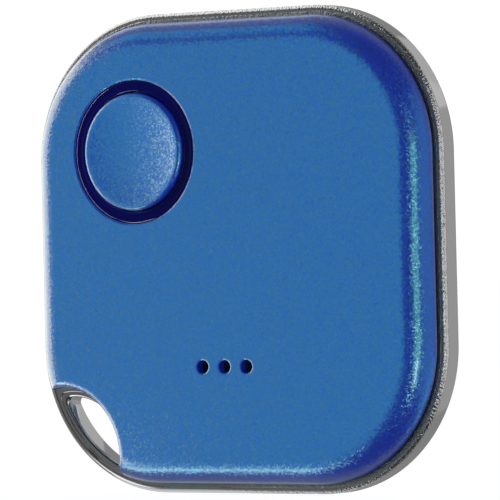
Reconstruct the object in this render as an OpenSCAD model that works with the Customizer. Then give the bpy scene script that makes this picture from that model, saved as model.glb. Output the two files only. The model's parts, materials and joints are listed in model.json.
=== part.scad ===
// Bluetooth tracker tag: a square tag with a push button, a light ring, a buzzer and a key-ring bar.
// Every sub-part is drawn in the tag's own frame: X right, Y up the face, Z out of the face.
// upright() then stands the tag on its bottom edge, with its face towards -Y.

/* [Body] */
// Width and height of the square body
body_w = 36; // [36:0.5:40]
// Radius of the body's corners, seen from the front
corner_r = 11; // [10:0.25:12]
// Thickness of the chrome band between the two covers
band_t = 2; // [1.9:0.05:2.2]
// Bevel on the outer edges of the chrome band
band_bevel = 0.32; // [0.15:0.01:0.4]
// How far each cover stands out of the chrome band
cover_h = 2; // [1.9:0.05:2.2]
// How far the covers lie inside the band's outline
cover_inset = 0.68; // [0.5:0.02:0.8]
// Thickness of a cover's flat face
face_t = 0.7; // [0.5:0.05:0.8]

/* [Key ring corner] */
// Distance from the body's sides to the centre of the corner notch
notch_in = 2.7; // [2.4:0.1:3]
// Radius of the round notch in the covers
notch_r = 5.3; // [5:0.1:5.5]
// Radius of the round side of the opening in the frame
eye_r = 4.5; // [4:0.1:4.6]
// Thickness of the key-ring bar
bar_t = 1.15; // [1:0.05:1.3]

/* [Button] */
// Button centre, right of the body's centre
button_x = -7.75; // [-8:0.05:-7.5]
// Button centre, above the body's centre
button_y = 7.65; // [7.5:0.05:8]
// Outer radius of the light ring
ring_r = 5.38; // [5.2:0.02:5.5]
// Radius of the button cap
cap_r = 4.42; // [4.2:0.02:4.5]
// How far the rim of the cap stands out of the face
cap_proud = 0.26; // [0.2:0.02:0.3]
// Depth of the finger dish in the cap
dish_depth = 0.42; // [0.3:0.02:0.44]
// Button travel
press_travel = 0.25; // [0.15:0.05:0.25]

/* [Buzzer] */
// Distance between the sound holes
hole_pitch = 1.95; // [1.8:0.05:2.2]
// Radius of a sound hole
hole_r = 0.55; // [0.4:0.05:0.6]
// Height of the sound holes, from the body's centre
hole_y = -8.5; // [-9:0.1:-8]
// Radius of the buzzer disc
buzzer_r = 6; // [5.5:0.1:6.2]

/* [Coin cell] */
// Radius of the coin cell
cell_r = 10; // [10]
// Thickness of the coin cell
cell_t = 3.2; // [3.2]
// Cell centre, right of the body's centre
cell_x = 4; // [3.8:0.1:4.1]
// Cell centre, above the body's centre
cell_y = -4; // [-4.1:0.1:-3.8]

/* [Hidden] */
$fn = 64;

eps = 0.01;             // thickness of a slice inside a hull
arc_steps = 12;         // chords along each corner of an outline
half = body_w / 2;
band_z = band_t / 2;    // the band runs from -band_z to band_z
face_z = band_z + cover_h;
inner_z = face_z - face_t;
notch_c = half - notch_in;

side_t = 1.1;           // thickness of a cover's side wall at its foot
frame_in = 1.4;         // inset of the frame's inner wall
frame_wall = 1.4;       // thickness of the frame's wall round the key-ring corner
skirt_out = 1.5;        // inset of the outside of a cover's skirt
skirt_in = 2.3;         // inset of its inside
skirt_end = 0.35;       // height at which a skirt stops, from the middle of the tag
notch_skirt = notch_r + 0.7;
notch_skirt_in = notch_skirt + 0.8;
notch_flare = 0.65;     // how much wider the notch is at a cover's face
rib_r = 0.3;            // radius of a crush rib

plate_top = 1.55;       // front of the chassis plate
plate_t = 0.4;
plate_bottom = plate_top - plate_t;
chassis_in = 2.45;      // inset of the chassis
chassis_notch = notch_skirt_in + 0.2;
rim_t = 0.6;            // thickness of the chassis's rim
cup_gap = 0.3;          // room round the cell
cup_t = 0.8;            // wall of the battery cup
cup_r = cell_r + cup_gap;
cup_bottom = -1.7;

board_t = 0.8;          // the board's front is at height 0
board_in = 2.6;
board_back = -board_t;
solder_t = 0.15;        // thickness of contact metal
wire_r = 0.1;

buzzer_front = inner_z - 0.2;
buzzer_back = buzzer_front - 0.15;
ceramic_back = buzzer_back - 0.15;

cell_front = plate_bottom - 0.1;
cell_back = cell_front - cell_t;

ring_in = cap_r + 0.08;         // inner radius of the light ring
ring_flange = 6.6;              // radius of the flange behind the cover
ring_back = 1.7;
cap_flange = 5.2;               // radius of the cap's flange, which stops behind the ring
flange_t = 0.4;
cap_edge = 0.3;                 // rounding of the cap's edge
cap_back = 1.25;
hollow_r = 3.7;                 // radius of the hollow in the cap's back
stem_r = 1.2;
stem_gap = 0.02;                // between the cap's stem and the plunger
switch_h = 0.85;
plunger_top = switch_h + press_travel + 0.05;

post_places = [[-13.4, -4.6], [-12.9, 11.8], [2.6, 13.3], [13.3, 9.6]];
boss_places = [[3.5, 13], [13.4, 4], [13, -12.4], [-13.6, -3.2]];

// ---------- the tag's frame ----------

// Stands the tag on its bottom edge, centred on the depth from the back to the rim of the cap
module upright()
    translate([0, cap_proud / 2, half])
        rotate([90, 0, 0])
            children();

function arc(cx, cy, r, from, to) =
    [for (i = [0:arc_steps]) let (a = from + (to - from) * i / arc_steps) [cx + r * cos(a), cy + r * sin(a)]];

function corner_x(quarter) = (quarter == 0 || quarter == 3) ? 1 : -1;
function corner_y(quarter) = quarter < 2 ? 1 : -1;

// The body's outline, moved in by inset
function outline(inset) =
    [for (quarter = [0:3])
        each arc(corner_x(quarter) * (half - corner_r), corner_y(quarter) * (half - corner_r),
                 corner_r - inset, quarter * 90, quarter * 90 + 90)];

module slab(inset, low, high)
    translate([0, 0, low])
        linear_extrude(high - low)
            polygon(outline(inset));

module corner_disc(r, low, high)
    translate([-notch_c, -notch_c, low])
        cylinder(r = r, h = high - low);

// A slab with the round notch taken out of its lower left corner
module notched_slab(inset, r, low, high)
    difference() {
        slab(inset, low, high);
        corner_disc(r, low - 1, high + 1);
    }

// A wall that follows the outline and the notch
module notched_wall(out_inset, out_r, in_inset, in_r, low, high)
    difference() {
        notched_slab(out_inset, out_r, low, high);
        notched_slab(in_inset, in_r, low - 1, high + 1);
    }

module disc_at(x, y, r, low, high)
    translate([x, y, low])
        cylinder(r = r, h = high - low);

module tube_at(x, y, r_out, r_in, low, high)
    difference() {
        disc_at(x, y, r_out, low, high);
        disc_at(x, y, r_in, low - 1, high + 1);
    }

module block_at(x, y, w, d, low, high)
    translate([x - w / 2, y - d / 2, low])
        cube([w, d, high - low]);

// ---------- covers ----------

// A slab whose front edge rolls over in a quarter round of the given height
module pillow(inset, height, roll)
    hull()
        for (a = [0:15:90])
            translate([0, 0, band_z + (height - eps) * sin(a)])
                linear_extrude(eps)
                    polygon(outline(inset + roll * (1 - cos(a))));

// The hollow shell and skirt that the front and back covers share
module cover_shell() {
    difference() {
        pillow(cover_inset, cover_h, cover_h);
        difference() {
            pillow(cover_inset + side_t, cover_h - face_t, 1);
            corner_disc(notch_skirt, 0, face_z + 1);
        }
        corner_disc(notch_r, 0, face_z + 1);
        translate([-notch_c, -notch_c, face_z - notch_flare])
            cylinder(r1 = notch_r, r2 = notch_r + notch_flare + eps, h = notch_flare + eps);
    }
    notched_wall(skirt_out, notch_skirt, skirt_in, notch_skirt_in, skirt_end, band_z + 0.5);
}

module front_cover()
    color("steelblue")
        upright() {
            difference() {
                cover_shell();
                disc_at(button_x, button_y, ring_r + 0.02, 0, face_z + 1);
                for (i = [-1:1])
                    disc_at(i * hole_pitch, hole_y, hole_r, 0, face_z + 1);
            }
            for (place = boss_places)
                disc_at(place[0], place[1], 0.8, plate_top, inner_z + 0.2);
        }

module back_cover()
    color("steelblue")
        upright()
            mirror([0, 0, 1]) {
                difference() {
                    cover_shell();
                    // a coin prises the cover off here
                    translate([-notch_c, -notch_c, band_z])
                        rotate([0, 0, 45])
                            translate([notch_r - 1, -2.5, -1])
                                cube([1.4, 5, 1.6]);
                }
                // a ring that keeps the cell in its cup
                difference() {
                    tube_at(cell_x, cell_y, cup_r + cup_t, cup_r + 0.2, 0.05 - cup_bottom, inner_z + 0.2);
                    block_at(cell_x, cell_y + cup_r, 6, 3, 0, face_z);
                }
                crush_ribs();
            }

// Small ribs on the skirt, which grip the frame's wall
module crush_ribs()
    for (side = [-1, 1])
        for (along = [-5, 5]) {
            disc_at(side * (half - skirt_out - rib_r + 0.06), along, rib_r, skirt_end, band_z);
            disc_at(along, side * (half - skirt_out - rib_r + 0.06), rib_r, skirt_end, band_z);
        }

module battery_pad()
    color("dimgray")
        upright()
            disc_at(cell_x, cell_y, 7, -inner_z, -inner_z + 0.12);

// ---------- chrome frame with the key-ring bar ----------

module chrome_frame()
    color("silver")
        upright()
            difference() {
                hull() {
                    slab(band_bevel, -band_z, band_z);
                    slab(0, band_bevel - band_z, band_z - band_bevel);
                }
                notched_slab(frame_in, eye_r + frame_wall, -face_z, face_z);
                intersection() {
                    slab(bar_t, -face_z, face_z);
                    corner_disc(eye_r, -face_z, face_z);
                }
            }

// Squeezed between the skirts of the two covers
module cover_gasket()
    color("black")
        upright()
            notched_wall(skirt_out + 0.02, notch_skirt + 0.02, skirt_in, notch_skirt_in,
                         0.03 - skirt_end, skirt_end);

// ---------- button and light ring ----------

module light_ring()
    color("midnightblue")
        upright() {
            tube_at(button_x, button_y, ring_r, ring_in, ring_back, face_z - 0.05);
            tube_at(button_x, button_y, ring_flange, ring_in, ring_back, inner_z);
        }

module ring_adhesive()
    color("white")
        upright()
            tube_at(button_x, button_y, ring_flange - 0.1, ring_flange - 0.8, plate_top, ring_back);

// Half of the cap's section: flange, side, rounded edge, dished face, and the hollow with its stem
module cap_section() {
    rim = face_z + cap_proud;
    face_r = cap_r - cap_edge;
    stem_end = plunger_top + stem_gap;
    edge = [for (a = [0:15:90]) [cap_r - cap_edge * (1 - cos(a)), rim - cap_edge * (1 - sin(a))]];
    dish = [for (i = [7:-1:0]) [face_r * i / 8, rim - dish_depth * (1 - pow(i / 8, 2))]];
    polygon(concat(
        [[cap_flange, cap_back], [cap_flange, cap_back + flange_t], [cap_r, cap_back + flange_t]],
        edge,
        dish,
        [[0, stem_end], [stem_r, stem_end], [stem_r, inner_z], [hollow_r, inner_z], [hollow_r, cap_back]]
    ));
}

module button_cap()
    color("royalblue")
        upright()
            translate([button_x, button_y, 0])
                rotate_extrude()
                    cap_section();

// ---------- switch ----------

module switch_body()
    color("dimgray")
        upright()
            difference() {
                block_at(button_x, button_y, 4.5, 4.5, 0, switch_h - 0.1);
                disc_at(button_x, button_y, 1.6, 0.1, switch_h);
            }

module switch_plate()
    color("silver")
        upright()
            difference() {
                block_at(button_x, button_y, 4.3, 4.3, switch_h - 0.1, switch_h);
                disc_at(button_x, button_y, 0.9, 0, 1);
            }

module switch_dome()
    color("gainsboro")
        upright()
            translate([button_x, button_y, 0])
                rotate_extrude()
                    polygon([
                        [0, 0.28], [0.7, 0.24], [1.4, 0.1], [1.5, 0.1],
                        [1.5, 0.14], [0.7, 0.3], [0, 0.34]
                    ]);

module switch_plunger()
    color("white")
        upright() {
            disc_at(button_x, button_y, 0.8, 0.65, plunger_top);
            disc_at(button_x, button_y, 1.3, 0.6, 0.72);
        }

// ---------- chassis ----------

module chassis()
    color("darkslategray")
        upright() {
            difference() {
                union() {
                    notched_slab(chassis_in, chassis_notch, plate_bottom, plate_top);
                    notched_wall(chassis_in, chassis_notch, chassis_in + rim_t, chassis_notch + rim_t,
                                 0.1, plate_bottom);
                    tube_at(cell_x, cell_y, cup_r + cup_t, cup_r, cup_bottom, plate_bottom);
                }
                disc_at(button_x, button_y, ring_flange - 0.9, 0, face_z);
                // way through for the negative contact
                block_at(-1.3, cell_y, 15, 3.8, 0.8, face_z);
                block_at(cell_x - cup_r, cell_y, 3, 3.8, -0.2, plate_bottom);
                // way through for the positive contact
                block_at(cell_x, cell_y + cup_r, 5.6, 2.2, cup_bottom - 1, plate_bottom);
                // way through for the buzzer's wires
                disc_at(-8.6, -6.2, 0.9, plate_bottom - 1, face_z);
            }
            for (place = post_places) {
                disc_at(place[0], place[1], 0.9, 0, plate_bottom);
                disc_at(place[0], place[1], 0.5, board_back - 0.3, 0.2);
            }
        }

// ---------- circuit board and what is soldered to it ----------

module circuit_board()
    color("darkgreen")
        upright()
            difference() {
                notched_slab(board_in, chassis_notch + 0.3, board_back, 0);
                disc_at(cell_x, cell_y, cup_r + cup_t + 0.3, -2, 1);
                translate([-half, -half, -2])
                    cube([body_w, half - 7, 3]);
                translate([0, -half, -2])
                    cube([half, half + 3.5, 3]);
                for (place = post_places)
                    disc_at(place[0], place[1], 0.55, -2, 1);
            }

module leds()
    color("ivory")
        upright()
            for (a = [0:90:270])
                translate([button_x, button_y, 0])
                    rotate([0, 0, a])
                        block_at(4.93, 0, 1, 1.6, 0, 0.6);

// A part on the back of the board
module back_part(x, y, w, d, h)
    upright()
        block_at(x, y, w, d, board_back - h, board_back);

module radio_chip()
    color("black")
        back_part(-11.3, 1.2, 5, 5, 0.85);

module crystal()
    color("silver")
        back_part(-10.4, -4.6, 3.2, 2.5, 0.7);

module antenna()
    color("white")
        back_part(8.2, 12.6, 8, 2, 1);

module inductor()
    color("gray")
        back_part(-3.2, 12, 4, 4, 1.3);

module transistor()
    color("black")
        back_part(-1.6, 8.4, 2.9, 1.3, 1);

module capacitors()
    color("peru") {
        for (i = [0:3])
            back_part(-13.8 + i * 1.7, 5.4, 0.6, 1.1, 0.55);
        for (i = [0:2])
            back_part(-14.4, -2.2 + i * 2.2, 1.1, 0.6, 0.55);
        for (i = [0:1])
            back_part(3.2 + i * 1.7, 10.6, 0.6, 1.1, 0.55);
    }

module test_pads()
    color("gold")
        for (i = [0:3])
            upright()
                disc_at(-9.6 + i * 1.9, 9.6, 0.6, board_back - 0.05, board_back);

// ---------- buzzer ----------

module sound_mesh()
    color("black")
        upright()
            block_at(0, hole_y, 3 * hole_pitch + 1, 3, inner_z - 0.1, inner_z);

module buzzer_adhesive()
    color("white")
        upright()
            tube_at(0, hole_y, buzzer_r, buzzer_r - 0.8, buzzer_front, inner_z);

module buzzer_disc()
    color("goldenrod")
        upright()
            disc_at(0, hole_y, buzzer_r, buzzer_back, buzzer_front);

module buzzer_ceramic()
    color("whitesmoke")
        upright()
            disc_at(0, hole_y, buzzer_r * 0.73, ceramic_back, buzzer_back);

// Two short wires from the buzzer to the front of the board
module buzzer_wires()
    color("red")
        upright() {
            wire([[-4, hole_y - 0.7, ceramic_back - wire_r], [-9, -6.7, ceramic_back - wire_r], [-9, -6.7, 0]]);
            wire([[-5.5, hole_y + 1, buzzer_back - wire_r], [-8.3, -6, buzzer_back - wire_r], [-8.3, -6, 0]]);
        }

// A wire in straight runs, each a little long so that it closes its bend
module wire(route)
    for (i = [0:len(route) - 2]) {
        step = route[i + 1] - route[i];
        length = norm(step);
        run = i < len(route) - 2 ? length + wire_r : length;
        translate(route[i])
            rotate([0, acos(step[2] / length), atan2(step[1], step[0])])
                cylinder(r = wire_r, h = run, $fn = 12);
    }

// ---------- coin cell and its contacts ----------

// Turns a section about the cell's axis; its heights are from the cell's back
module cell_turn()
    upright()
        translate([cell_x, cell_y, cell_back])
            rotate_extrude()
                children();

module cell_can()
    color("silver")
        cell_turn()
            polygon([
                [0, 0], [cell_r - 0.3, 0], [cell_r, 0.3], [cell_r, cell_t - 0.3],
                [cell_r - 0.7, cell_t - 0.1], [cell_r - 0.9, cell_t - 0.1], [cell_r - 0.9, cell_t - 0.4],
                [cell_r - 0.35, cell_t - 0.5], [cell_r - 0.35, 0.25], [0, 0.25]
            ]);

module cell_seal()
    color("black")
        cell_turn()
            polygon([
                [cell_r - 1.25, cell_t - 0.15], [cell_r - 0.92, cell_t - 0.15],
                [cell_r - 0.92, cell_t - 0.42], [cell_r - 0.37, cell_t - 0.52], [cell_r - 0.37, 0.27],
                [cell_r - 1.6, 0.27], [cell_r - 1.6, 0.45], [cell_r - 1.25, 0.45]
            ]);

module cell_cap()
    color("lightgray")
        cell_turn()
            polygon([
                [0, cell_t], [cell_r - 1.7, cell_t], [cell_r - 1.27, cell_t - 0.4],
                [cell_r - 1.27, 0.47], [cell_r - 1.5, 0.47], [cell_r - 1.5, cell_t - 0.45],
                [cell_r - 1.8, cell_t - 0.25], [0, cell_t - 0.25]
            ]);

module cell_core()
    color("dimgray")
        cell_turn()
            polygon([[0, 0.27], [cell_r - 1.7, 0.27], [cell_r - 1.7, cell_t - 0.5], [0, cell_t - 0.5]]);

module positive_contact()
    color("gold")
        upright() {
            translate([cell_x, cell_y, -1.4])
                rotate([0, 0, 78])
                    rotate_extrude(angle = 24)
                        translate([cell_r + 0.04, 0])
                            square([0.2, 2.2]);
            block_at(cell_x, cell_y + cell_r + 1.6, 2.6, 3, board_back - solder_t, board_back);
        }

module negative_contact()
    color("gold")
        upright() {
            block_at(-1.4, cell_y, 13.9, 3, cell_front + 0.02, cell_front + 0.02 + solder_t);
            block_at(-8.3, cell_y, solder_t, 3, 0, cell_front + 0.02 + solder_t);
            block_at(-9.2, cell_y, 1.8, 3, 0, solder_t);
        }

front_cover();
light_ring();
ring_adhesive();
button_cap();
chrome_frame();
cover_gasket();
back_cover();
battery_pad();
chassis();
circuit_board();
switch_body();
switch_plate();
switch_dome();
switch_plunger();
leds();
radio_chip();
crystal();
antenna();
inductor();
transistor();
capacitors();
test_pads();
sound_mesh();
buzzer_adhesive();
buzzer_disc();
buzzer_ceramic();
buzzer_wires();
cell_can();
cell_seal();
cell_cap();
cell_core();
positive_contact();
negative_contact();
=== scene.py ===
import json
import math

import bmesh
import bpy
from mathutils import Matrix, Vector


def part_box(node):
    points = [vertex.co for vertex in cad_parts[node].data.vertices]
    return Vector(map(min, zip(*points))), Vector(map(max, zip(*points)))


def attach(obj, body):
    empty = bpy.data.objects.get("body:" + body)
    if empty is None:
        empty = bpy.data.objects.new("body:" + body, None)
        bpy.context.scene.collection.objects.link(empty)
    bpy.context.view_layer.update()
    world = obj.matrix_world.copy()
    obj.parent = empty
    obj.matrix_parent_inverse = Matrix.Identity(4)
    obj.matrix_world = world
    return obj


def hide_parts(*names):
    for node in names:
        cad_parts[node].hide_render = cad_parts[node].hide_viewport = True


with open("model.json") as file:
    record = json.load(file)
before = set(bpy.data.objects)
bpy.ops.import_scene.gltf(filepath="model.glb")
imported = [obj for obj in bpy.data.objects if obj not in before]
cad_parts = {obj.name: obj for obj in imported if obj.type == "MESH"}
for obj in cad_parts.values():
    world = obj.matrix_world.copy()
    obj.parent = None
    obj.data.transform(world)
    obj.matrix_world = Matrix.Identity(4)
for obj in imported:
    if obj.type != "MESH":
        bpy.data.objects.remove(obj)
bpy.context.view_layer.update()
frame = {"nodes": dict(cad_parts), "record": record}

# A square bluetooth tracker tag: pearl-blue covers in a chrome band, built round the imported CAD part.
# Shapes are drawn in the tag's own frame, in millimetres: X right, Y up the face, Z out of the face.
# stand() turns them into the shared frame, in metres, where the tag stands on its edge and looks towards -Y.

MM = 0.001

# ---------- driving dimensions, in millimetres ----------

band_low, band_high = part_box("chrome_frame")
cover_low, cover_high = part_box("front_cover")
cap_low, cap_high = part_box("button_cap")
cell_low, cell_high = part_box("cell_can")

HALF = (band_high.x - band_low.x) / 2 / MM
MID_Y = (band_low.y + band_high.y) / 2 / MM         # depth of the tag's middle plane
BAND_Z = (band_high.y - band_low.y) / 2 / MM        # the band runs from -BAND_Z to BAND_Z
FACE_Z = MID_Y - cover_low.y / MM                   # the front face
COVER_INSET = (band_high.x - cover_high.x) / MM
SKIRT_END = MID_Y - cover_high.y / MM
COVER_H = FACE_Z - BAND_Z
CAP_RIM_Z = MID_Y - cap_low.y / MM
BUTTON = ((cap_low.x + cap_high.x) / 2 / MM, (cap_low.z + cap_high.z) / 2 / MM - HALF)
CELL = ((cell_low.x + cell_high.x) / 2 / MM, (cell_low.z + cell_high.z) / 2 / MM - HALF)
CELL_R = (cell_high.x - cell_low.x) / 2 / MM

CORNER_R = 11
FACE_T = 0.7                # the covers' wall behind the face
SIDE_T = 1.1                # the covers' wall at the sides
CAVITY_ROLL = 1             # roll of the edge inside the covers
SEAM = 0.12                 # the groove at a cover's foot, where the seal shows
BEAD_W = 0.5                # how far in the seal's bead reaches from the cover's side
FRAME_IN = 1.4              # the band's inner wall, from the body's sides
SKIRT_OUT = 1.5             # the skirt's outer and inner walls, from the body's sides
SKIRT_IN = 2.3
SKIRT_ROOT = 0.5            # how far the skirt reaches up into the cover's side
NOTCH_IN = 2.7              # from the body's sides to the centre of the corner notch
NOTCH_R = 5.3
NOTCH_ROUND = 0.65          # round of the cover's edge at the notch
SKIRT_R = NOTCH_R + 0.7     # the skirt's walls round the notch, from its centre
SKIRT_R_IN = SKIRT_R + 0.8
COIN_SLOT = (1.4, 5, 0.6)   # depth, width and height of the slot that a coin opens the back cover with
CUP_GAP = 0.5               # from the cell to the rib round it in the back cover
CUP_RIB_T = 0.6
CUP_RIB_Z = 1.75
CUP_RIB_ROOT = 0.2          # how far the rib reaches into the cover's wall

EYE_R = 4.5                 # the key-ring opening's round side
EYE_END_R = 0.45            # the rounded ends of the opening
EYE_EDGE = 0.22             # round of the opening's edges
EYE_STEP = 0.48             # width of the step round the opening
EYE_STEP_DEPTH = 0.06       # how far the step lies below the lip
EYE_WALL = 1.4              # metal between the opening and the room inside the band
BAR_T = 1.15                # the key-ring bar's thickness
BAND_ROUND = 0.38           # round of the band's outer edges
RIM_FLAT = 0.06             # the top of the band's raised rim
RIM_SLOPE = 0.14            # the rim's inner slope, down to the lip beside the cover
LIP_DEPTH = 0.065           # how far the lip lies below the top of the rim

CAP_R = 4.42
CAP_ROUND = 0.32            # round of the cap's rim
DISH_DEPTH = 0.42
HOLLOW_R = 3.7              # the hollow behind the dish
HOLLOW_Z = 2.5
STEM_R = 1.2                # the stem that presses the switch
STEM_Z = 1.17
FLANGE_R = 5.2              # the flange that keeps the cap in
FLANGE_Z = (1.25, 1.65)     # its foot and its shoulder
RING_R = 5.38
RING_GAP = 0.08             # between the cap and the light ring
RING_SUNK = 0.06            # how far the light ring lies below the face
RING_EDGE = 0.16
RING_SINK = 0.05            # the hollow along the ring's top
RING_FOOT_R = 6.6
RING_FOOT_Z = 1.7
BORE_GAP = 0.02             # between the light ring and the cover's opening
BUTTON_CHAMFER = 0.14
HOLE_CHAMFER = 0.11
HOLE_R = 0.5
HOLE_PITCH = 1.95
HOLE_Y = -8.5
CHAMFER_ANGLE = 23
INNER_Z = FACE_Z - FACE_T
NOTCH = (NOTCH_IN - HALF, NOTCH_IN - HALF)

CORNER_STEPS = 40           # chords on each corner of an outline
ROLL_STEPS = 14             # chords on the roll of a cover's edge
EDGE_STEPS = 6              # chords on a small rounded edge
TURN_STEPS = 128            # chords round a turned piece
HOLE_STEPS = 40             # chords round a sound hole

CAMERA_AZIMUTH = 33.64      # the camera's place, in degrees to the right of the face


# ---------- outlines and solids ----------

def stand(point):
    """A point of the tag's frame, in millimetres, as a point of the shared frame, in metres."""
    x, y, z = point
    return Vector((x, MID_Y - z, y + HALF)) * MM


def arc(centre, radius, start, end, steps):
    """Points from the start angle to the end angle, in degrees."""
    points = []
    for i in range(steps + 1):
        a = math.radians(start + (end - start) * i / steps)
        points.append((centre[0] + radius * math.cos(a), centre[1] + radius * math.sin(a)))
    return points


def outline(inset):
    """The body's rounded square, moved in by inset."""
    side = HALF - CORNER_R
    points = []
    for quarter, (sx, sy) in enumerate(((1, 1), (-1, 1), (-1, -1), (1, -1))):
        start = quarter * 90
        points += arc((sx * side, sy * side), CORNER_R - inset, start, start + 90, CORNER_STEPS)
    return points


def solid(name, bm):
    """Closes a bmesh drawn in the tag's frame into an object of the shared frame."""
    bmesh.ops.remove_doubles(bm, verts=bm.verts, dist=1e-5)
    for vert in bm.verts:
        vert.co = stand(vert.co)
    bmesh.ops.recalc_face_normals(bm, faces=bm.faces)
    mesh = bpy.data.meshes.new(name)
    bm.to_mesh(mesh)
    bm.free()
    piece = bpy.data.objects.new(name, mesh)
    bpy.context.scene.collection.objects.link(piece)
    return piece


def stack(name, rings):
    """A solid through closed rings of (outline, height), capped at both ends."""
    bm = bmesh.new()
    loops = [[bm.verts.new((x, y, z)) for x, y in points] for points, z in rings]
    for lower, upper in zip(loops, loops[1:]):
        count = len(lower)
        for i in range(count):
            j = (i + 1) % count
            bm.faces.new((lower[i], lower[j], upper[j], upper[i]))
    bm.faces.new(loops[0])
    bm.faces.new(loops[-1])
    return solid(name, bm)


def prism(name, points, low, high):
    """An outline drawn out along Z."""
    return stack(name, [(points, low), (points, high)])


def block(name, centre, size, low, high):
    """An upright box about a centre, as a tool for cutting."""
    x, y = centre
    w, d = size[0] / 2, size[1] / 2
    return prism(name, [(x - w, y - d), (x + w, y - d), (x + w, y + d), (x - w, y + d)], low, high)


def turned(name, centre, profile, steps=TURN_STEPS):
    """Turns a closed profile of (radius, height) about an axis along Z."""
    bm = bmesh.new()
    columns = []
    for i in range(steps):
        a = 2 * math.pi * i / steps
        column = []
        for radius, z in profile:
            x = centre[0] + radius * math.cos(a)
            y = centre[1] + radius * math.sin(a)
            column.append(bm.verts.new((x, y, z)))
        columns.append(column)
    count = len(profile)
    for i in range(steps):
        here, there = columns[i], columns[(i + 1) % steps]
        for k in range(count):
            m = (k + 1) % count
            if profile[k][0] == 0 and profile[m][0] == 0:
                continue
            bm.faces.new((here[k], there[k], there[m], here[m]))
    bmesh.ops.remove_doubles(bm, verts=bm.verts, dist=1e-5)
    bmesh.ops.dissolve_degenerate(bm, edges=bm.edges, dist=1e-6)
    return solid(name, bm)


def combine(target, tools, operation="DIFFERENCE"):
    """Cuts, joins or intersects the target with the tools, which are used up."""
    for tool in tools:
        step = target.modifiers.new(tool.name, "BOOLEAN")
        step.operation = operation
        step.solver = "EXACT"
        step.object = tool
        bpy.context.view_layer.update()
        depsgraph = bpy.context.evaluated_depsgraph_get()
        mesh = bpy.data.meshes.new_from_object(target.evaluated_get(depsgraph))
        target.modifiers.clear()
        target.data = mesh
        bpy.data.objects.remove(tool)
    return target


def smooth(piece, angle=32):
    """Shades a piece smooth, with its flats flat and a crisp line at each edge sharper than the angle."""
    for face in piece.data.polygons:
        face.use_smooth = True
    piece.data.set_sharp_from_angle(angle=math.radians(angle))
    weighted = piece.modifiers.new("flats", "WEIGHTED_NORMAL")
    weighted.mode = "FACE_AREA"
    weighted.keep_sharp = True
    weighted.weight = 80
    return piece


# ---------- covers ----------

def pillow(name, inset, height, roll, groove=0):
    """A slab on the band's front, whose edge rolls over in a quarter round. Its foot may have a groove."""
    rings = []
    if groove:
        rings.append((outline(inset + groove), BAND_Z))
        rings.append((outline(inset + groove), BAND_Z + groove))
    # the roll starts a little above the groove
    first = math.degrees(math.asin(1.3 * groove / height))
    for i in range(ROLL_STEPS + 1):
        a = math.radians(first + (90 - first) * i / ROLL_STEPS)
        rings.append((outline(inset + roll * (1 - math.cos(a))), BAND_Z + height * math.sin(a)))
    return stack(name, rings)


def rounded_bore(name, centre, radius, top, edge, bottom):
    """A round cutting tool that leaves its mouth with a rounded edge."""
    profile = [(0, bottom), (radius, bottom)]
    steps = 8
    for i in range(steps + 1):
        a = math.radians(90 * i / steps)
        profile.append((radius + edge * (1 - math.cos(a)), top - edge * (1 - math.sin(a))))
    profile += [(radius + edge, top + 1), (0, top + 1)]
    return turned(name, centre, profile)


def chamfered_bore(name, centre, radius, width, steps=TURN_STEPS):
    """A cutting tool for a bore through the face, whose mouth has a shallow chamfer of the given width."""
    depth = width * math.tan(math.radians(CHAMFER_ANGLE))
    profile = [(0, 0), (radius, 0), (radius, FACE_Z - depth), (radius + width, FACE_Z)]
    profile += [(radius + width, FACE_Z + 1), (0, FACE_Z + 1)]
    return turned(name, centre, profile, steps)


def notch_tool(name, radius, low, high):
    """A round tool at the corner notch."""
    return turned(name, NOTCH, [(0, low), (radius, low), (radius, high), (0, high)])


def notched_wall(name, out_inset, out_r, in_inset, in_r, low, high):
    """A wall that follows the outline and the corner notch."""
    wall = prism(name, outline(out_inset), low, high)
    core = prism("core", outline(in_inset), low - 1, high + 1)
    combine(core, [notch_tool("core_notch", in_r, low - 2, high + 2)])
    return combine(wall, [notch_tool("wall_notch", out_r, low - 1, high + 1), core])


def cover_shell(name):
    """The hollow shell that the front and back covers share, with a skirt that goes inside the band."""
    shell = pillow(name, COVER_INSET, COVER_H, COVER_H, SEAM)
    cavity = pillow("cavity", COVER_INSET + SIDE_T, COVER_H - FACE_T, CAVITY_ROLL)
    foot = prism("cavity_foot", outline(COVER_INSET + SIDE_T), BAND_Z - 1, BAND_Z + 0.01)
    combine(cavity, [foot], "UNION")
    combine(cavity, [notch_tool("cavity_notch", SKIRT_R, BAND_Z - 2, FACE_Z)])
    notch = rounded_bore("notch", NOTCH, NOTCH_R, FACE_Z, NOTCH_ROUND, BAND_Z - 1)
    combine(shell, [cavity, notch])
    skirt = notched_wall("skirt", SKIRT_OUT, SKIRT_R, SKIRT_IN, SKIRT_R_IN, SKIRT_END,
                         BAND_Z + SKIRT_ROOT)
    return combine(shell, [skirt], "UNION")


def front_cover():
    """The cover with the button's opening and three sound holes."""
    cover = cover_shell("pearl_front_cover")
    tools = [chamfered_bore("button_bore", BUTTON, RING_R + BORE_GAP, BUTTON_CHAMFER)]
    for i in (-1, 0, 1):
        hole = (i * HOLE_PITCH, HOLE_Y)
        tools.append(chamfered_bore(f"sound_hole_{i}", hole, HOLE_R, HOLE_CHAMFER, HOLE_STEPS))
    return smooth(combine(cover, tools), 20)


def flip(piece):
    """Turns a front piece over into a back piece, on the same side of the tag."""
    for vert in piece.data.vertices:
        vert.co.y = 2 * MID_Y * MM - vert.co.y
    piece.data.flip_normals()
    return piece


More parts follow.
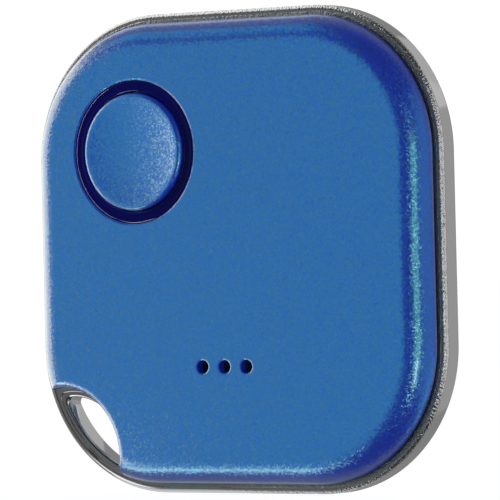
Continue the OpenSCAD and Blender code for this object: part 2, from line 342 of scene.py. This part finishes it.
def back_cover():
    """The cover that comes off, with a slot for a coin at its notch and a rib round the cell."""
    cover = cover_shell("pearl_back_cover")
    slot_depth, slot_width, slot_height = COIN_SLOT
    slot = block("coin_slot", (NOTCH_R - 0.3, 0), (slot_depth, slot_width), -1, slot_height)
    spin = Matrix.Translation(stand((*NOTCH, BAND_Z))) @ Matrix.Rotation(math.radians(-45), 4, "Y")
    slot.data.transform(spin @ Matrix.Translation(-stand((0, 0, 0))))
    combine(cover, [slot])
    inner = CELL_R + CUP_GAP
    outer = inner + CUP_RIB_T
    root = INNER_Z + CUP_RIB_ROOT
    rib = turned("cell_rib", CELL, [(inner, CUP_RIB_Z), (outer, CUP_RIB_Z), (outer, root), (inner, root)])
    combine(rib, [block("rib_gap", (CELL[0], CELL[1] + CELL_R + 0.3), (6, 3), 0, FACE_Z)])
    combine(cover, [rib], "UNION")
    return smooth(flip(cover))


def seal_bead(name):
    """The black seal that shows in the groove at a cover's foot."""
    outer = (COVER_INSET + 0.02, NOTCH_R + 0.05)
    inner = (COVER_INSET + BEAD_W, NOTCH_R + BEAD_W)
    return smooth(notched_wall(name, *outer, *inner, BAND_Z - LIP_DEPTH, BAND_Z + 0.8 * SEAM))


# ---------- chrome frame ----------

def lens(inset):
    """The key-ring opening, between a round about the notch and the round bar, with rounded ends."""
    side = HALF - CORNER_R
    corner = EYE_END_R
    bar_centre = (-side, -side)
    bar_r = CORNER_R - BAR_T - inset - corner
    eye_r = EYE_R - inset - corner
    gap = math.hypot(NOTCH[0] - bar_centre[0], NOTCH[1] - bar_centre[1])
    reach = (gap * gap + eye_r * eye_r - bar_r * bar_r) / (2 * gap)
    eye_half = math.degrees(math.acos(reach / eye_r))
    bar_half = math.degrees(math.acos((gap - reach) / bar_r))
    points = arc(NOTCH, eye_r + corner, 45 - eye_half, 45 + eye_half, 36)
    ends = [(NOTCH[0] + eye_r * math.cos(math.radians(45 + s * eye_half)),
             NOTCH[1] + eye_r * math.sin(math.radians(45 + s * eye_half))) for s in (1, -1)]
    points += arc(ends[0], corner, 45 + eye_half, 225 - bar_half, 10)[1:]
    points += arc(bar_centre, bar_r + corner, 225 - bar_half, 225 + bar_half, 36)[1:]
    points += arc(ends[1], corner, 225 + bar_half, 405 - eye_half, 10)[1:-1]
    return points


def chrome_frame():
    """The band, with a rounded rim on each side that stands over its lips, and the key-ring eye."""
    half = []
    for i in range(EDGE_STEPS + 1):
        a = math.radians(90 * i / EDGE_STEPS)
        half.append((outline(BAND_ROUND * (1 - math.cos(a))), BAND_Z - BAND_ROUND * (1 - math.sin(a))))
    half.append((outline(BAND_ROUND + RIM_FLAT), BAND_Z))
    half.append((outline(BAND_ROUND + RIM_FLAT + RIM_SLOPE), BAND_Z - LIP_DEPTH))
    band = stack("chrome_band", [(points, -z) for points, z in reversed(half)] + half)
    room = prism("room", outline(FRAME_IN), -FACE_Z, FACE_Z)
    combine(room, [notch_tool("room_notch", EYE_R + EYE_WALL, -FACE_Z - 1, FACE_Z + 1)])
    return smooth(combine(band, [room, eye_tool()]))


def eye_tool():
    """A cutting tool for the key-ring opening, with rounded edges and a shallow step on each side."""
    lip = BAND_Z - LIP_DEPTH
    step = lip - EYE_STEP_DEPTH
    half = []
    for i in range(EDGE_STEPS + 1):
        a = math.radians(90 * i / EDGE_STEPS)
        half.append((lens(-EYE_EDGE * (1 - math.cos(a))), step - EYE_EDGE * (1 - math.sin(a))))
    corner_steps = 3
    for i in range(corner_steps + 1):
        a = math.radians(90 * i / corner_steps)
        grow = EYE_STEP - EYE_STEP_DEPTH * math.cos(a)
        half.append((lens(-grow), lip - EYE_STEP_DEPTH * (1 - math.sin(a))))
    half.append((lens(-EYE_STEP), FACE_Z))
    return stack("eye", [(points, -z) for points, z in reversed(half)] + half)


# ---------- button and light ring ----------

def button_cap():
    """A disc with a shallow finger dish inside a rounded rim, hollow behind, with a stem and a flange."""
    foot, shoulder = FLANGE_Z
    profile = [(0, STEM_Z), (STEM_R, STEM_Z), (STEM_R, HOLLOW_Z), (HOLLOW_R, HOLLOW_Z)]
    profile += [(HOLLOW_R, foot), (FLANGE_R, foot), (FLANGE_R, shoulder), (CAP_R, shoulder)]
    rim_steps = 10
    for i in range(rim_steps + 1):
        a = math.radians(90 * i / rim_steps)
        profile.append((CAP_R - CAP_ROUND * (1 - math.cos(a)), CAP_RIM_Z - CAP_ROUND * (1 - math.sin(a))))
    dish_r = CAP_R - CAP_ROUND
    dish_steps = 16
    for i in range(1, dish_steps + 1):
        share = 1 - i / dish_steps
        profile.append((dish_r * share, CAP_RIM_Z - DISH_DEPTH * (1 - share * share)))
    return smooth(turned("pearl_button_cap", BUTTON, profile))


def light_ring():
    """A ring whose top sinks a little between its rounded edges."""
    top = FACE_Z - RING_SUNK
    inner = CAP_R + RING_GAP
    edge = RING_EDGE
    profile = [(inner, RING_FOOT_Z), (RING_FOOT_R, RING_FOOT_Z), (RING_FOOT_R, INNER_Z), (RING_R, INNER_Z)]
    for i in range(EDGE_STEPS + 1):
        a = math.radians(90 * i / EDGE_STEPS)
        profile.append((RING_R - edge * (1 - math.cos(a)), top - edge * (1 - math.sin(a))))
    for share in (0.25, 0.5, 0.75):
        sink = RING_SINK * math.sin(math.pi * share)
        profile.append((RING_R - edge + (inner + 2 * edge - RING_R) * share, top - sink))
    for i in range(EDGE_STEPS + 1):
        a = math.radians(90 * i / EDGE_STEPS)
        profile.append((inner + edge * (1 - math.sin(a)), top - edge * (1 - math.cos(a))))
    return smooth(turned("glossy_light_ring", BUTTON, profile))


# ---------- materials ----------

PEARL_BLUE = (0.03, 0.075, 0.50)
FLAKE = 0.1 * MM            # size of a pearl flake
SPARKLE = 0.15 * MM         # size of the sparkles on the band's bevel
SATIN_ROUGHNESS = 0.22      # how much rougher the band's satin faces are than its polished ones


class Nodes:
    """A short way to write a material's node tree."""

    def __init__(self, name):
        self.material = bpy.data.materials.new(name)
        self.material.use_nodes = True
        self.tree = self.material.node_tree
        self.shader = self.tree.nodes["Principled BSDF"]

    def add(self, kind, inputs=None, **settings):
        """A node with its settings, and its inputs given as values or as sockets to link."""
        node = self.tree.nodes.new(kind)
        for key, value in settings.items():
            setattr(node, key, value)
        for key, value in (inputs or {}).items():
            self.feed(node.inputs[key], value)
        return node

    def feed(self, socket, value):
        """Links a socket to an input, or sets the input to a value."""
        if isinstance(value, bpy.types.NodeSocket):
            self.tree.links.new(value, socket)
        else:
            socket.default_value = value

    def shade(self, **inputs):
        """Feeds the shader's inputs, named with _ for each space, and gives the finished material."""
        for key, value in inputs.items():
            self.feed(self.shader.inputs[key.replace("_", " ")], value)
        return self.material

    def math(self, operation, *values):
        """A math node's result."""
        return self.add("ShaderNodeMath", dict(enumerate(values)), operation=operation).outputs[0]

    def clamp(self, value, low, high, to_low=0.0, to_high=1.0):
        """Maps low to to_low and high to to_high, and stops there."""
        inputs = {"Value": value, "From Min": low, "From Max": high, "To Min": to_low, "To Max": to_high}
        return self.add("ShaderNodeMapRange", inputs).outputs["Result"]

    def place(self, scale):
        """The object's own coordinates, in units of scale metres."""
        where = self.add("ShaderNodeTexCoord").outputs["Object"]
        return self.add("ShaderNodeVectorMath", {0: where, "Scale": 1 / scale}, operation="SCALE").outputs[0]

    def noise(self, scale, detail=3.0):
        """Soft noise whose lumps are about scale metres across."""
        inputs = {"Vector": self.place(scale), "Scale": 1.0, "Detail": detail}
        return self.add("ShaderNodeTexNoise", inputs).outputs["Fac"]

    def ramp(self, factor, stops):
        """A colour ramp through stops of (position, colour)."""
        node = self.add("ShaderNodeValToRGB", {"Fac": factor})
        ramp = node.color_ramp
        while len(ramp.elements) < len(stops):
            ramp.elements.new(0.5)
        for element, (position, colour) in zip(ramp.elements, stops):
            element.position = position
            element.color = (*colour, 1)
        return node.outputs["Color"]

    def range(self, factor, low, high):
        """Spreads a factor of 0 to 1 from low to high."""
        return self.clamp(factor, 0.0, 1.0, low, high)

    def bump(self, height, distance):
        """A normal bent by a height of 0 to 1, over a distance in metres."""
        inputs = {"Height": height, "Distance": distance, "Strength": 1.0}
        return self.add("ShaderNodeBump", inputs).outputs["Normal"]


def pearl_paint(name, base, lean):
    """Pearl lacquer: flakes with their own tilt and tint over a blue ground, under a smooth clear coat."""
    n = Nodes(name)
    flakes = n.add("ShaderNodeTexVoronoi", {"Vector": n.place(FLAKE), "Scale": 1.0}, feature="F1")
    random = flakes.outputs["Color"]
    tilt = n.add("ShaderNodeVectorMath", {0: random, 1: (0.5, 0.5, 0.5)}, operation="SUBTRACT").outputs[0]
    tilt = n.add("ShaderNodeVectorMath", {0: tilt, "Scale": lean}, operation="SCALE").outputs[0]
    straight = n.add("ShaderNodeNewGeometry").outputs["Normal"]
    leaning = n.add("ShaderNodeVectorMath", {0: straight, 1: tilt}, operation="ADD").outputs[0]
    normal = n.add("ShaderNodeVectorMath", {0: leaning}, operation="NORMALIZE").outputs[0]
    pick = n.add("ShaderNodeSeparateColor", {"Color": random}).outputs["Red"]
    light = tuple(1.3 * c for c in base)
    dark = tuple(0.7 * c for c in base)
    tint = n.ramp(pick, [(0.0, dark), (1.0, light)])
    return n.shade(Base_Color=tint, Specular_Tint=(0.62, 0.88, 1.0, 1), IOR=3.0, Roughness=0.33,
                   Coat_Weight=1.0, Coat_Roughness=0.1, Normal=normal)


def chrome():
    """Bright plate with satin front and back faces, and a fine sparkle along the front bevel."""
    n = Nodes("bright_chrome")
    coordinates = n.add("ShaderNodeTexCoord").outputs
    place = n.add("ShaderNodeSeparateXYZ", {0: coordinates["Object"]}).outputs
    facing = n.add("ShaderNodeSeparateXYZ", {0: coordinates["Normal"]}).outputs["Y"]
    satin = n.clamp(n.math("ABSOLUTE", facing), 0.97, 0.995)
    # depth is 0 at the mid-plane and 1 at the top of the front rim, where the bevel ends
    depth = n.math("DIVIDE", n.math("SUBTRACT", place["Y"], MID_Y * MM), -BAND_Z * MM)
    bevel = BAND_ROUND / BAND_Z
    off_bevel = n.math("ABSOLUTE", n.math("SUBTRACT", depth, 1 - 0.5 * bevel))
    on_bevel = n.clamp(off_bevel, 0.4 * bevel, 0.5 * bevel, 1.0, 0.01)
    # the sparkle fades out towards the key-ring corner
    across = n.math("ADD", place["X"], place["Z"])
    off_corner = n.clamp(across, -2 * MM, 3 * MM, 0.02, 1.0)
    where = n.math("MULTIPLY", on_bevel, off_corner)
    sparkle = n.math("MULTIPLY", n.noise(SPARKLE, 1.0), where)
    colour = n.ramp(satin, [(0.0, (0.78, 0.78, 0.79)), (1.0, (0.55, 0.55, 0.55))])
    polish = n.range(n.noise(0.6 * MM), 0.05, 0.13)
    rough = n.math("MULTIPLY_ADD", satin, SATIN_ROUGHNESS, polish)
    return n.shade(Base_Color=colour, Metallic=1.0, Roughness=rough, Normal=n.bump(sparkle, 0.07 * MM))


def light_guide():
    """Glossy dark blue plastic."""
    n = Nodes("navy_light_guide")
    return n.shade(Base_Color=(0.001, 0.002, 0.40, 1), Roughness=0.07, Coat_Weight=1.0, Coat_Roughness=0.03,
                   Normal=n.bump(n.noise(0.8 * MM), 0.004 * MM))


def moulded(name, colour, roughness=0.5, grain=0.12 * MM, depth=0.006 * MM):
    """Plastic, rubber, foam or ceramic with a fine even texture."""
    n = Nodes(name)
    shade = n.noise(grain * 12)
    darker = tuple(0.82 * c for c in colour)
    tint = n.ramp(shade, [(0.3, darker), (0.7, colour)])
    rough = n.range(n.noise(grain * 5), roughness - 0.06, roughness + 0.06)
    return n.shade(Base_Color=tint, Roughness=rough, Normal=n.bump(n.noise(grain), depth))


def circuit_mask():
    """Green solder mask over rows of copper traces, with small plated holes."""
    n = Nodes("board")
    where = n.place(MM)
    upright = {"Vector": where, "Angle": math.radians(90)}
    flat = n.add("ShaderNodeVectorRotate", upright, rotation_type="X_AXIS").outputs[0]
    traces = n.add("ShaderNodeTexBrick", {
        "Vector": flat,
        "Scale": 1.0,
        "Mortar Size": 0.06,
        "Mortar Smooth": 0.3,
        "Brick Width": 2.9,
        "Row Height": 0.36,
        "Color1": (0.006, 0.10, 0.035, 1),
        "Color2": (0.01, 0.14, 0.05, 1),
        "Mortar": (0.002, 0.045, 0.018, 1)})
    holes = n.add("ShaderNodeTexVoronoi", {"Vector": where, "Scale": 0.55})
    in_hole = n.clamp(holes.outputs["Distance"], 0.08, 0.1, 1.0, 0.0)
    plated = {"Factor": in_hole, "A": traces.outputs["Color"], "B": (0.5, 0.36, 0.12, 1)}
    tint = n.add("ShaderNodeMix", plated, data_type="RGBA").outputs["Result"]
    return n.shade(Base_Color=tint, Roughness=0.3, Normal=n.bump(traces.outputs["Fac"], -0.02 * MM))


def metal(name, colour):
    """Rolled or plated metal, a little uneven."""
    n = Nodes(name)
    grain = 0.2 * MM
    shade = n.noise(grain * 8)
    darker = tuple(0.86 * c for c in colour)
    tint = n.ramp(shade, [(0.3, darker), (0.7, colour)])
    rough = n.range(n.noise(grain), 0.2, 0.33)
    uneven = n.bump(n.noise(grain, 2.0), 0.003 * MM)
    return n.shade(Base_Color=tint, Metallic=1.0, Roughness=rough, Normal=uneven)


def make_materials():
    """Every material, by the name of its slot."""
    return {
        "pearl_paint": pearl_paint("pearl_paint", PEARL_BLUE, 0.3),
        "pearl_cap": pearl_paint("pearl_cap", PEARL_BLUE, 0.26),
        "light_guide": light_guide(),
        "chrome": chrome(),
        "black_plastic": moulded("black_plastic", (0.018, 0.018, 0.02)),
        "chip_plastic": moulded("chip_plastic", (0.012, 0.012, 0.012), 0.45),
        "white_plastic": moulded("white_plastic", (0.72, 0.71, 0.64), 0.35),
        "board": circuit_mask(),
        "gold": metal("gold", (0.85, 0.60, 0.24)),
        "steel": metal("steel", (0.62, 0.61, 0.60)),
        "ferrite": moulded("ferrite", (0.06, 0.06, 0.065), 0.6),
        "white_ceramic": moulded("white_ceramic", (0.70, 0.70, 0.67), 0.4),
        "tan_ceramic": moulded("tan_ceramic", (0.36, 0.22, 0.11), 0.45),
        "buzzer_brass": metal("buzzer_brass", (0.72, 0.50, 0.18)),
        "wire_red": moulded("wire_red", (0.45, 0.015, 0.01), 0.4),
        "mesh_cloth": moulded("mesh_cloth", (0.008, 0.008, 0.03), 0.8),
        "foam": moulded("foam", (0.025, 0.025, 0.027), 0.9, 0.2 * MM, 0.03 * MM),
        "adhesive": moulded("adhesive", (0.6, 0.6, 0.57), 0.5),
        "seal_rubber": moulded("seal_rubber", (0.015, 0.015, 0.016), 0.6),
    }


# ---------- light, floor and camera ----------

def direction(azimuth, elevation):
    """A unit vector, from two angles in degrees. Azimuth 0 is in front of the face, 90 on the +X side."""
    a, e = math.radians(azimuth), math.radians(elevation)
    return Vector((math.sin(a) * math.cos(e), -math.cos(a) * math.cos(e), math.sin(e)))


def panel(name, azimuth, elevation, width, height, radiance, receivers, mirrored=True,
          target=(0, 0, BAND_Z), distance=0.5):
    """A soft box that lights the receivers only, and faces a target on the tag from a distance in metres.

    Width and height are the angles that it fills, seen from the target.
    """
    light = bpy.data.lights.new(name, "AREA")
    light.shape = "RECTANGLE"
    light.size = 2 * distance * math.tan(math.radians(width / 2))
    light.size_y = 2 * distance * math.tan(math.radians(height / 2))
    peak = max(radiance)
    light.color = [c / peak for c in radiance]
    light.energy = peak * light.size * light.size_y * math.pi
    box = bpy.data.objects.new(name, light)
    bpy.context.scene.collection.objects.link(box)
    away = direction(azimuth, elevation)
    box.location = stand(target) + away * distance
    box.rotation_euler = away.to_track_quat("Z", "Y").to_euler()
    box.visible_glossy = mirrored
    box.light_linking.receiver_collection = receivers


def light_paint(painted):
    """Soft boxes that only the painted pieces take light from."""
    for name, azimuth, elevation, width, height, radiance in (
            ("paint_key", -96, 2, 62, 58, (0.4, 0.5, 0.4)),
            ("paint_key_core", -95, 2, 60, 50, (1.3, 1.12, 0.92)),
            ("paint_front", -34, -7, 46, 56, (0.09, 0.54, 0.62)),
            ("paint_strip", 46, -8, 22, 36, (0.6, 2.0, 1.0)),
            ("paint_strip_core", 46, -8, 6, 36, (2.6, 4.8, 3.2)),
            ("paint_glint", 45, -17, 6, 14, (8, 8, 7.4)),
            ("paint_low", -52, -42, 26, 20, (0.4, 0.9, 0.9)),
            ("paint_low_core", -53, -43, 30, 8, (2.0, 3.2, 2.8)),
            ("paint_right", 95, 0, 50, 80, (0.10, 0.32, 0.44)),
            ("paint_top", -57, 46, 30, 22, (0.02, 0.57, 0.8)),
            ("paint_back_top", -145, 34, 44, 28, (0.55, 0.6, 0.75)),
            ("paint_back_low", -148, -20, 44, 50, (0.25, 0.32, 0.42)),
            ("paint_behind", 138, -29, 46, 34, (0.05, 0.42, 0.5))):
        panel(name, azimuth, elevation, width, height, radiance, painted)
    panel("paint_dusk", 34, 0, 60, 60, (0.01, 0.01, 1.8), painted, mirrored=False)


def light_metal(others):
    """Soft boxes for the chrome, the seals and the pieces inside."""
    for name, azimuth, elevation, width, height, level in (
            ("metal_front", -36, -8, 24, 38, 0.13),
            ("metal_dim", 22, 0, 34, 60, 0.18),
            ("metal_spark", 30, 0, 8, 24, 1.5),
            ("metal_side", 57, 0, 34, 60, 0.6),
            ("metal_right", 110, 0, 44, 70, 0.6),
            ("metal_behind", 148, 0, 24, 70, 0.10),
            ("metal_behind_top", 165, 32, 36, 26, 0.2),
            ("metal_left", -90, 18, 88, 46, 0.62),
            ("metal_top", -90, 52, 90, 30, 0.75),
            ("metal_low", -95, -50, 90, 30, 0.45)):
        panel(name, azimuth, elevation, width, height, (level, level, level), others)


def light_notch(painted, chromed):
    """Small boxes within 20 mm of the notch, which whiten the rounded edges over it."""
    over_notch = (NOTCH[0] + 1.8, NOTCH[1] + NOTCH_R, FACE_Z)
    panel("notch_glow", -58, -45, 40, 36, (1.6, 1.25, 1.0), painted, target=over_notch, distance=0.013)
    panel("eye_glow", -50, -42, 26, 22, (1.1, 1.1, 1.15), chromed, target=over_notch, distance=0.02)


def light_cap(cap):
    """A box for the button cap alone, which lights the flakes on the right of its dish."""
    panel("cap_glow", -64, 4, 14, 44, (1.7, 1.8, 1.8), cap)


def light_button_ring(ring):
    """Bright boxes that draw thin lines along the light ring's polished edges."""
    panel("ring_left", -76, 0, 34, 60, (4, 4, 4.6), ring)
    panel("ring_low", -46, -40, 26, 20, (4, 4, 4.6), ring)


def studio():
    """A pale backdrop behind the tag and a dim room in front of it. The camera sees plain white."""
    world = bpy.data.worlds.new("studio")
    bpy.context.scene.world = world
    world.use_nodes = True
    tree = world.node_tree
    room = tree.nodes["Background"]
    room.inputs["Color"].default_value = (1, 1, 1, 1)
    where = tree.nodes.new("ShaderNodeTexCoord").outputs["Generated"]
    behind = tree.nodes.new("ShaderNodeVectorMath")
    behind.operation = "DOT_PRODUCT"
    behind.inputs[1].default_value = -direction(CAMERA_AZIMUTH, 0)
    tree.links.new(where, behind.inputs[0])
    level = tree.nodes.new("ShaderNodeMapRange")
    level.interpolation_type = "SMOOTHSTEP"
    level.inputs["From Min"].default_value = -0.2
    level.inputs["From Max"].default_value = 0.35
    level.inputs["To Min"].default_value = 0.04
    level.inputs["To Max"].default_value = 0.26
    tree.links.new(behind.outputs["Value"], level.inputs["Value"])
    tree.links.new(level.outputs["Result"], room.inputs["Strength"])
    white = tree.nodes.new("ShaderNodeBackground")
    white.inputs["Color"].default_value = (1, 1, 1, 1)
    white.inputs["Strength"].default_value = 1.05
    path = tree.nodes.new("ShaderNodeLightPath")
    choose = tree.nodes.new("ShaderNodeMixShader")
    tree.links.new(path.outputs["Is Camera Ray"], choose.inputs[0])
    tree.links.new(room.outputs[0], choose.inputs[1])
    tree.links.new(white.outputs[0], choose.inputs[2])
    tree.links.new(choose.outputs[0], tree.nodes["World Output"].inputs["Surface"])
    bpy.context.scene.view_settings.view_transform = "Standard"


def floor():
    """A plain pale floor that throws no light or reflection on the tag."""
    bm = bmesh.new()
    bmesh.ops.create_grid(bm, x_segments=8, y_segments=8, size=2.0)
    mesh = bpy.data.meshes.new("floor")
    bm.to_mesh(mesh)
    bm.free()
    ground = bpy.data.objects.new("floor", mesh)
    bpy.context.scene.collection.objects.link(ground)
    n = Nodes("pale_floor")
    pale = n.shade(Base_Color=(0.25, 0.25, 0.25, 1), Roughness=1.0, Specular_IOR_Level=0.0,
                   Emission_Color=(1, 1, 1, 1), Emission_Strength=0.97)
    ground.data.materials.append(pale)
    ground.visible_glossy = False
    ground.visible_diffuse = False


def camera():
    """Looks at the face from its right, level with its middle, through a long lens."""
    roll = math.radians(-1.39)
    distance = 327.8 * MM
    aim = stand((1.2, 0.09, BAND_Z))
    away = direction(CAMERA_AZIMUTH, -0.04)
    lens_data = bpy.data.cameras.new("camera")
    lens_data.sensor_width = 36
    lens_data.lens = 318.1
    lens_data.clip_start = 0.01
    eye = bpy.data.objects.new("camera", lens_data)
    bpy.context.scene.collection.objects.link(eye)
    turn = away.to_track_quat("Z", "Y").to_matrix().to_4x4() @ Matrix.Rotation(roll, 4, "Z")
    eye.matrix_world = Matrix.Translation(aim + away * distance) @ turn
    bpy.context.scene.camera = eye


# ---------- assembly ----------

def add(piece, body, slot, materials):
    """Gives a finished piece its material and the body that it rides on."""
    piece.data.materials.clear()
    piece.data.materials.append(materials[slot])
    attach(piece, body)


def fit(piece, body, node, slot, materials):
    """Puts a finished piece in place of its CAD node."""
    add(piece, body, slot, materials)
    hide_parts(node)


def dress_cad(materials):
    """Gives every CAD node its material."""
    slots = {part["node"]: part["material_slot"] for part in frame["record"]["subparts"]}
    for name, node in frame["nodes"].items():
        node.data.materials.clear()
        node.data.materials.append(materials[slots[name]])


def group(name, pieces):
    """A collection that lights can be linked to."""
    members = bpy.data.collections.new(name)
    for piece in pieces:
        members.objects.link(piece)
    return members


camera()
studio()
floor()
materials = make_materials()
dress_cad(materials)

front = front_cover()
back = back_cover()
cap = button_cap()
band = chrome_frame()
ring = light_ring()
fit(front, "case", "front_cover", "pearl_paint", materials)
fit(back, "cover", "back_cover", "pearl_paint", materials)
fit(cap, "button", "button_cap", "pearl_cap", materials)
fit(band, "case", "chrome_frame", "chrome", materials)
fit(ring, "case", "light_ring", "light_guide", materials)

front_bead = seal_bead("front_seal_bead")
back_bead = flip(seal_bead("back_seal_bead"))
add(front_bead, "case", "seal_rubber", materials)
add(back_bead, "cover", "seal_rubber", materials)

replaced = {"front_cover", "back_cover", "button_cap", "chrome_frame", "light_ring"}
kept = [node for name, node in frame["nodes"].items() if name not in replaced]
light_paint(group("painted", [front, back, cap]))
light_metal(group("unpainted", [band, front_bead, back_bead] + kept))
light_notch(group("front_paint", [front]), group("band", [band]))
light_cap(group("cap", [cap]))
light_button_ring(group("button_ring", [ring]))
